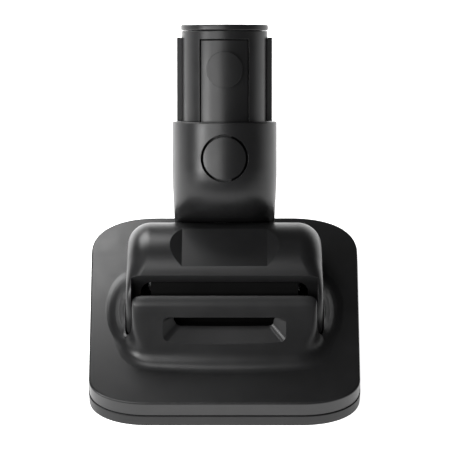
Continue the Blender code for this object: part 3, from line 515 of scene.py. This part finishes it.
def make_sleeve():
    """Sleeve around the neck, with the hole for the button."""
    sleeve = make_object("sleeve_skin", sleeve_loft(0, 100), NECK)
    bore = [(50, 0.0), (50, TUBE_R + GAP), (55, TUBE_R + GAP), (56, SLEEVE_BORE_R),
            (91.0, SLEEVE_BORE_R), (91.6, SLEEVE_BORE_R + 0.5), (100, SLEEVE_BORE_R + 0.5),
            (100, 0.0)]
    hole = [(-40, 0.0), (-40, 13.7), (-30.2, 13.7), (-29.6, 13.4), (-29.1, BUTTON_HOLE_R),
            (-10, BUTTON_HOLE_R), (-10, 0.0)]
    steps = [cut(sleeve_loft(2.3, 55, 24, 64), NECK), cut(lathe("Z", bore, 128), NECK),
             cut(hood_solid(GAP, GAP, 128)),
             cut(lathe("Y", hole, 96, (0, BUTTON_U)), NECK)]
    for u in SCREW_HEIGHTS:
        steps.append(cut(rod("Y", 20, 40, 1.5, (0, u), 24), NECK))
        steps.append(cut(rod("Y", 27.9, 40, 3.0, (0, u), 32), NECK))
    return polish(combine(sleeve, steps))


def make_tube():
    """Spigot with its bore, nipple and the slot for the latch."""
    tube = make_object("tube_skin", rod("Z", TUBE_BOTTOM, TUBE_TOP, TUBE_R, steps=192, edge=0.45),
                       NECK)
    slot = block((-SLOT_HALF - 0.25, -40, SLOT_BOTTOM),
                 (SLOT_HALF, -SLOT_FLOOR, SLOT_TOP + 0.3))
    steps = [join(rod("Z", NIPPLE_BOTTOM, TUBE_BOTTOM + 1, STUB_R, (0, NIPPLE_SHIFT), 48), NECK),
             cut(rod("Z", TUBE_BOTTOM + 2.4, 160, BORE_R, (0, BORE_SHIFT), 96), NECK),
             cut(rod("Z", 40, 60, STUB_R - 1.2, (0, NIPPLE_SHIFT), 48), NECK),
             cut(slot, NECK),
             cut(rod("X", -17.2, 17.2, 1.5, (-LEVER_PIVOT_V, LEVER_PIVOT_U), 24), NECK)]
    for u in SCREW_HEIGHTS:
        steps.append(cut(rod("Y", 20, 40, 1.4, (0, u), 24), NECK))
    return polish(combine(tube, steps))


def make_collar():
    """Ring at the spigot's end."""
    collar = make_object("collar_skin", rod("Z", TUBE_TOP + GAP, SPIGOT_END, COLLAR_R, steps=192,
                                            edge=0.6), NECK)
    hole = lathe("Z", [(100, 0.0), (100, BORE_R + 0.6), (SPIGOT_END - 0.6, BORE_R + 0.6),
                       (SPIGOT_END + 0.4, BORE_R + 1.6), (160, BORE_R + 1.6), (160, 0.0)], 96,
                 (0, BORE_SHIFT - 0.4))
    return polish(combine(collar, [cut(hole, NECK)]))


def arc_panel(outer, inner, half, low, high, steps=40):
    """Curved plate along the neck, open side to the tube."""
    ring = []
    for radius, order in ((outer, 1), (inner, -1)):
        reach = math.asin(half / radius)
        for i in range(steps + 1):
            angle = order * reach * (2 * i / steps - 1)
            ring.append((radius * math.sin(angle), -radius * math.cos(angle)))
    return ring_loft([[(x, y, low) for x, y in ring], [(x, y, high) for x, y in ring]])


def make_latch():
    """Latch lever with its round catch."""
    lever = make_object("latch_skin", arc_panel(LEVER_R, 21.2, 13.0, 56.2, LEVER_TOP), NECK)
    boss = make_object("tool", rod("Y", -30, -21.6, CATCH_R, (0, CATCH_U), 96), NECK)
    dome = lathe("Z", [(90, 0), (90, BOSS_R), (140, BOSS_R), (140, 0)], 256,
                 (0.0, BOSS_R - TUBE_R - 0.8))
    combine(boss, [keep(dome, NECK)])
    pivot = (-LEVER_PIVOT_V, LEVER_PIVOT_U)
    steps = [join(boss), join(block((-12.8, -19.3, 56.4), (12.8, -LEVER_PIVOT_V, 60.8)), NECK),
             join(rod("X", -12.8, 12.8, 2.7, pivot, 48), NECK),
             cut(rod("X", -20, 20, 1.5, pivot, 32), NECK)]
    return polish(combine(lever, steps))


def make_button():
    """Round release button with its stem."""
    cap = make_object("button_skin", rod("Y", -31, -24.7, BUTTON_R - 0.15, (0, BUTTON_U), 128),
                      NECK)
    crown = lathe("Z", [(50, 0), (50, SLEEVE_R - 0.2), (90, SLEEVE_R - 0.2), (90, 0)], 256)
    steps = [keep(crown, NECK),
             join(block((-4, -25.6, BUTTON_U - 14.4), (4, -24.7, BUTTON_U + 14.4)), NECK),
             join(rod("Y", -25.0, -LEVER_R - 0.35, 3.0, (0, 76.0), 32), NECK)]
    return polish(combine(cap, steps))


def make_rails():
    """Key and contact rail, seated on the tube."""
    high, start = 26.8, SLEEVE_TOP + GAP
    rails = []
    for name, sign in (("key_rail_skin", -1), ("contact_rail_skin", 1)):
        low, far = both(sign, TUBE_R - 1.5, high)
        rail = make_object(name, soft_block((low, -4.5, start), (far, 4.5, RAIL_TOP), 0.35), NECK)
        steps = [cut(rod("Z", start - 1, RAIL_TOP + 1, TUBE_R + 0.03, steps=384), NECK)]
        if sign > 0:
            steps += [cut(rod("X", 20, 30, 1.6, (0, u), 40), NECK) for u in CONTACT_HEIGHTS]
        rails.append(polish(combine(rail, steps)))
    return rails


def both(sign, inner, outer):
    return min(sign * inner, sign * outer), max(sign * inner, sign * outer)


def make_sole():
    """Sole plate with its brush window, roller wells, lock and screws."""
    levels = [(0.0, 0.1), (0.15, -0.15), (0.45, -0.35), (1.0, -0.45), (SOLE_TOP - 0.35, -0.45),
              (SOLE_TOP, -0.15)]
    sole = make_object("sole_skin", head_loft(levels))
    cavity = make_object("tool", head_loft([(FLOOR, WALL + 1.0), (SOLE_TOP + 1, WALL + 0.6)], 12))
    x, y, z = ROLLER
    trims = []
    for sign in (-1, 1):
        a, b = both(sign, 51.7, 55.3)
        trims.append(cut(block((a, -38.5, 1.0), (b, -28.5, BRUSH_Z))))
        for inner, outer in ((x - 8.6, x - 6.2), (x + 6.2, x + 8.6)):
            a, b = both(sign, inner, outer)
            trims.append(cut(block((a, y - 3, 1.0), (b, y + 3, z + 2.6))))
    combine(cavity, trims)
    steps = [cut(cavity), cut(block((-44.6, -45.4, -1), (44.6, -21.4, 5)))]
    for sign in (-1, 1):
        a, b = both(sign, 51.7, 55.3)
        steps.append(join(block((a, -38.5, SOLE_TOP - 2), (b, -28.5, BRUSH_Z))))
        a, b = both(sign, x - 5.6, x + 5.6)
        steps.append(cut(block((a, y - 5.2, -1), (b, y + 5.2, 5))))
    steps += [cut(rod("X", -60, 60, 4.2, (BRUSH_Y, BRUSH_Z), 40)),
              cut(rod("X", -66, 66, 1.3, (y, z), 24)), cut(rod("Z", -1, 3, 6.4, LOCK_SPOT, 64))]
    for spot in SCREW_SPOTS:
        steps += [cut(rod("Z", -1, 1.3, 3.3, spot, 32)), cut(rod("Z", 0, 3, 1.6, spot, 20))]
    for low, high in LINT_GROOVES:
        steps.append(cut(block((-44.3, low, -1), (44.3, high, 1.2))))
    return polish(combine(sole, steps))


def hose_point(t, reach=24.5):
    """Point and direction on the air hose's middle line, from the chamber's stub to the nipple."""
    along, behind = Vector((0, 0.70711, 0.70711)), Vector((0, 0.70711, -0.70711))
    start = Vector((0, -18.2, 16.0))
    end = Vector((0, 0, PIVOT_Z)) + along * (NIPPLE_BOTTOM + 2) + behind * NIPPLE_SHIFT
    first, second = start + Vector((0, 1.3 * reach, 0)), end - along * reach
    r = 1 - t
    point = start * r ** 3 + first * 3 * r * r * t + second * 3 * r * t * t + end * t ** 3
    heading = (first - start) * r * r + (second - first) * 2 * r * t + (end - second) * t * t
    return point, heading.normalized()


def make_hose(folds=22, steps=56):
    """Corrugated hose, open at both ends."""
    outer, inner = [], []
    for i in range(folds * 4 + 1):
        point, heading = hose_point(i / (folds * 4))
        up = Vector((1, 0, 0)).cross(heading)
        radius = 8.4 - 0.15 * math.cos(math.pi * i / 2)
        for rings, reach in ((outer, radius), (inner, 7.8)):
            rings.append([tuple(point + Vector((reach * math.cos(a), 0, 0))
                                + up * reach * math.sin(a))
                          for a in (2 * math.pi * k / steps for k in range(steps))])
    rings = outer + list(reversed(inner))
    return polish(make_object("hose_skin", ring_loft(rings + rings[:1], cap=False)), 60.0)


def make_spring(turns=4, steps=24, radius=3.2, wire=0.35, around=10):
    """Compression spring behind the latch lever."""
    low, high, u = SLOT_FLOOR + 0.5, 20.3, 100.0
    rings = []
    for i in range(turns * steps + 1):
        angle = 2 * math.pi * i / steps
        out = Vector((math.cos(angle), 0, math.sin(angle)))
        centre = out * radius + Vector((0, -(low + (high - low) * i / (turns * steps)), u))
        rings.append([tuple(centre + out * wire * math.cos(a) + Vector((0, wire * math.sin(a), 0)))
                      for a in (2 * math.pi * k / around for k in range(around))])
    return polish(make_object("spring_skin", ring_loft(rings), NECK), 60.0)


def make_bristles():
    """Two helical rows of tufts on the brush core."""
    rng = random.Random(7)
    rows = []
    for row in range(2):
        bm = bmesh.new()
        for k in range(TUFT_COUNT):
            x = TUFT_START + TUFT_SPAN * k / (TUFT_COUNT - 1)
            turn = math.radians(TUFT_TURN * k / (TUFT_COUNT - 1) + 180 * row + 45.0)
            for _ in range(HAIRS):
                spread = rng.uniform(0, 2 * math.pi)
                off = 0.75 * math.sqrt(rng.random())
                a0 = turn + off * math.sin(spread) / CORE_R
                a1 = a0 + rng.uniform(-0.07, 0.07)
                x0 = x + off * math.cos(spread)
                x1 = x0 + rng.uniform(-0.5, 0.5)
                tip = BRISTLE_R - rng.uniform(0.0, 0.5)
                add_bristle(bm, (x0, a0, CORE_R - 0.3), (x1, a1, tip), 0.1)
        rows.append(make_object(f"bristle_tufts_{row + 1}", bm))
    return rows


def add_bristle(bm, root, tip, thick):
    """Three-sided tapering hair between two (x, angle, radius) points."""
    rings = []
    for (x, angle, radius), width in ((root, thick), (tip, thick * 0.6)):
        out = Vector((0, math.cos(angle), math.sin(angle)))
        side = Vector((0, -out.z, out.y))
        centre = Vector((x, BRUSH_Y, BRUSH_Z)) + out * radius
        rings.append([bm.verts.new(centre + Vector((width * math.cos(t), 0, 0))
                                   + side * width * math.sin(t))
                      for t in (0, 2.094, 4.189)])
    for i in range(3):
        j = (i + 1) % 3
        bm.faces.new((rings[0][i], rings[0][j], rings[1][j], rings[1][i]))
    bm.faces.new(reversed(rings[0]))
    bm.faces.new(rings[1])


# ---------------------------------------------------------------- materials

def nodes_of(name):
    """New material, its node tree and its shader."""
    material = bpy.data.materials.new(name)
    material.use_nodes = True
    tree = material.node_tree
    return material, tree, tree.nodes["Principled BSDF"]


def noise(tree, scale, detail=3.0, rough=0.55, stretch=(1, 1, 1)):
    """Noise in object space."""
    coords = tree.nodes.new("ShaderNodeTexCoord")
    mapping = tree.nodes.new("ShaderNodeMapping")
    mapping.inputs["Scale"].default_value = stretch
    tree.links.new(coords.outputs["Object"], mapping.inputs["Vector"])
    texture = tree.nodes.new("ShaderNodeTexNoise")
    texture.inputs["Scale"].default_value = scale
    texture.inputs["Detail"].default_value = detail
    texture.inputs["Roughness"].default_value = rough
    tree.links.new(mapping.outputs["Vector"], texture.inputs["Vector"])
    return texture.outputs["Fac"]


def remap(tree, value, low, high, new_low, new_high):
    node = tree.nodes.new("ShaderNodeMapRange")
    for socket, number in (("From Min", low), ("From Max", high), ("To Min", new_low),
                           ("To Max", new_high)):
        node.inputs[socket].default_value = number
    tree.links.new(value, node.inputs["Value"])
    return node.outputs["Result"]


def plastic(name, dark, light, rough, grain, specular=0.5, round_edge=0.0):
    """Moulded plastic: faint mottling, a fine eroded grain and slightly polished high spots."""
    material, tree, shader = nodes_of(name)
    shader.inputs["Specular IOR Level"].default_value = specular
    mottling = noise(tree, 55.0, 4.0)
    ramp = tree.nodes.new("ShaderNodeValToRGB")
    ramp.color_ramp.elements[0].position, ramp.color_ramp.elements[1].position = 0.32, 0.72
    ramp.color_ramp.elements[0].color = (*dark, 1)
    ramp.color_ramp.elements[1].color = (*light, 1)
    tree.links.new(mottling, ramp.inputs["Fac"])
    tree.links.new(ramp.outputs["Color"], shader.inputs["Base Color"])
    smear = noise(tree, 90.0, 5.0, 0.6, (1, 1, 0.6))
    tree.links.new(remap(tree, smear, 0.3, 0.7, rough - 0.035, rough + 0.035),
                   shader.inputs["Roughness"])
    bump = tree.nodes.new("ShaderNodeBump")
    bump.inputs["Strength"].default_value = grain
    bump.inputs["Distance"].default_value = 0.00003
    tree.links.new(noise(tree, 2600.0, 2.0, 0.5), bump.inputs["Height"])
    if round_edge > 0:
        bevel = tree.nodes.new("ShaderNodeBevel")
        bevel.samples = 6
        bevel.inputs["Radius"].default_value = round_edge
        tree.links.new(bevel.outputs["Normal"], bump.inputs["Normal"])
    tree.links.new(bump.outputs["Normal"], shader.inputs["Normal"])
    return material


def metal(name, colour, rough, stretch):
    """Brushed metal, with streaks along the axis that is stretched least."""
    material, tree, shader = nodes_of(name)
    shader.inputs["Metallic"].default_value = 1.0
    tone = noise(tree, 400.0, 3.0, 0.6, stretch)
    ramp = tree.nodes.new("ShaderNodeValToRGB")
    ramp.color_ramp.elements[0].color = (*(c * 0.75 for c in colour), 1)
    ramp.color_ramp.elements[1].color = (*colour, 1)
    tree.links.new(tone, ramp.inputs["Fac"])
    tree.links.new(ramp.outputs["Color"], shader.inputs["Base Color"])
    tree.links.new(remap(tree, tone, 0.3, 0.7, rough, rough + 0.15), shader.inputs["Roughness"])
    return material


def felt(name, colour):
    """Short dark pile."""
    material, tree, shader = nodes_of(name)
    shader.inputs["Sheen Weight"].default_value = 0.6
    shader.inputs["Sheen Roughness"].default_value = 0.5
    shader.inputs["Roughness"].default_value = 0.95
    pile = noise(tree, 1800.0, 4.0, 0.7)
    ramp = tree.nodes.new("ShaderNodeValToRGB")
    ramp.color_ramp.elements[0].color = (*(c * 0.45 for c in colour), 1)
    ramp.color_ramp.elements[1].color = (*(c * 1.5 for c in colour), 1)
    tree.links.new(pile, ramp.inputs["Fac"])
    tree.links.new(ramp.outputs["Color"], shader.inputs["Base Color"])
    bump = tree.nodes.new("ShaderNodeBump")
    bump.inputs["Strength"].default_value = 0.8
    bump.inputs["Distance"].default_value = 0.0004
    tree.links.new(pile, bump.inputs["Height"])
    tree.links.new(bump.outputs["Normal"], shader.inputs["Normal"])
    return material


SATIN = plastic("satin_black", (0.0085, 0.0085, 0.0088), (0.0110, 0.0110, 0.0114), 0.34, 0.12, 0.3,
                round_edge=0.00035)
SOLE = plastic("sole_black", (0.006, 0.006, 0.0063), (0.008, 0.008, 0.0083), 0.44, 0.2, 0.2,
               round_edge=0.0004)
# Black plastic of the inner parts, made darker than the plastic itself to paint the shade seen
# through the intake slit.
INNER_BLACK_AND_SHADE = plastic("inner_black", (0.0012, 0.0012, 0.0012), (0.002, 0.002, 0.002), 0.75, 0.3, 0.06)
TUFTS = plastic("tuft_nylon", (0.02, 0.02, 0.022), (0.045, 0.045, 0.048), 0.5, 0.1)
RUBBER = plastic("soft_rubber", (0.012, 0.012, 0.012), (0.02, 0.02, 0.02), 0.75, 0.4, 0.3)
MASK = plastic("solder_mask", (0.02, 0.12, 0.05), (0.04, 0.2, 0.08), 0.35, 0.1)
NYLON = plastic("natural_nylon", (0.7, 0.7, 0.66), (0.82, 0.82, 0.78), 0.45, 0.1)
STEEL = metal("plain_steel", (0.56, 0.56, 0.57), 0.25, (1, 8, 8))
BRASS = metal("plain_brass", (0.72, 0.53, 0.24), 0.25, (8, 8, 1))
PILE = felt("short_pile", (0.03, 0.03, 0.033))
BY_SLOT = {"shell_black": SATIN, "sole_black": SOLE, "inner_black": INNER_BLACK_AND_SHADE, "steel": STEEL,
           "brass": BRASS, "rubber": RUBBER, "felt": PILE, "board_green": MASK,
           "connector_white": NYLON}


def dress_cad_nodes():
    """Gives every CAD node the material of its slot."""
    for entry in frame["record"]["subparts"]:
        obj = frame["nodes"].get(entry["node"])
        if obj is not None:
            obj.data.materials.clear()
            obj.data.materials.append(BY_SLOT[entry["material_slot"]])


# ---------------------------------------------------------------- stage

def area_light(name, place, aim, size, power):
    data = bpy.data.lights.new(name, "AREA")
    data.shape = "RECTANGLE"
    data.size, data.size_y = size
    data.energy = power
    light = bpy.data.objects.new(name, data)
    light.location = place
    light.rotation_euler = (Vector(aim) - Vector(place)).to_track_quat("-Z", "Y").to_euler()
    bpy.context.scene.collection.objects.link(light)


def make_stage():
    bm = bmesh.new()
    bmesh.ops.create_grid(bm, x_segments=1, y_segments=1, size=FLOOR_SIZE)
    mesh = bpy.data.meshes.new("floor")
    bm.to_mesh(mesh)
    bm.free()
    floor = bpy.data.objects.new("floor", mesh)
    bpy.context.scene.collection.objects.link(floor)
    material, tree, shader = nodes_of("pale_floor")
    shader.inputs["Base Color"].default_value = (0.9, 0.9, 0.9, 1)
    shader.inputs["Roughness"].default_value = 0.9
    shader.inputs["Specular IOR Level"].default_value = 0.0
    shader.inputs["Emission Color"].default_value = (1, 1, 1, 1)
    shader.inputs["Emission Strength"].default_value = 1.0
    floor.data.materials.append(material)
    floor.location = (0, 0, -FLOOR_DROP)
    world = bpy.data.worlds.new("studio")
    world.use_nodes = True
    world.node_tree.nodes["Background"].inputs["Color"].default_value = (1, 1, 1, 1)
    world.node_tree.nodes["Background"].inputs["Strength"].default_value = WORLD_STRENGTH
    bpy.context.scene.world = world
    for row in LIGHTS:
        area_light(*row)


def make_camera():
    data = bpy.data.cameras.new("camera")
    data.lens = CAMERA_LENS
    data.sensor_width = SENSOR
    camera = bpy.data.objects.new("camera", data)
    camera.location = CAMERA_PLACE
    camera.rotation_euler = (math.radians(CAMERA_TILT), 0, 0)
    bpy.context.scene.collection.objects.link(camera)
    bpy.context.scene.camera = camera


def main():
    make_camera()
    dress_cad_nodes()
    finish_piece(make_cover(), "head", "shell_black", "top_cover")
    finish_piece(make_sole(), "head", "sole_black", "sole_plate")
    finish_piece(make_hood(), "neck", "shell_black", "hood_shell")
    finish_piece(make_sleeve(), "neck", "shell_black", "neck_sleeve")
    finish_piece(make_tube(), "neck", "shell_black", "neck_tube")
    finish_piece(make_collar(), "neck", "shell_black", "spigot_collar")
    key, rail = make_rails()
    finish_piece(key, "neck", "shell_black", "key_rail_left")
    finish_piece(rail, "neck", "sole_black", "contact_rail_right")
    finish_piece(make_latch(), "latch", "shell_black", "latch_lever")
    finish_piece(make_button(), "button", "shell_black", "release_button")
    hose, spring = make_hose(), make_spring()
    finish_piece(hose, None, "rubber", "air_hose")
    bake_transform(hose)
    finish_piece(spring, "neck", "steel", "latch_spring")
    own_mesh(spring)
    for number, tufts in enumerate(make_bristles(), 1):
        finish_piece(tufts, "brush", "felt", f"bristle_strip_{number}", TUFTS)
    make_stage()
    bpy.context.scene.view_settings.view_transform = "Standard"


main()
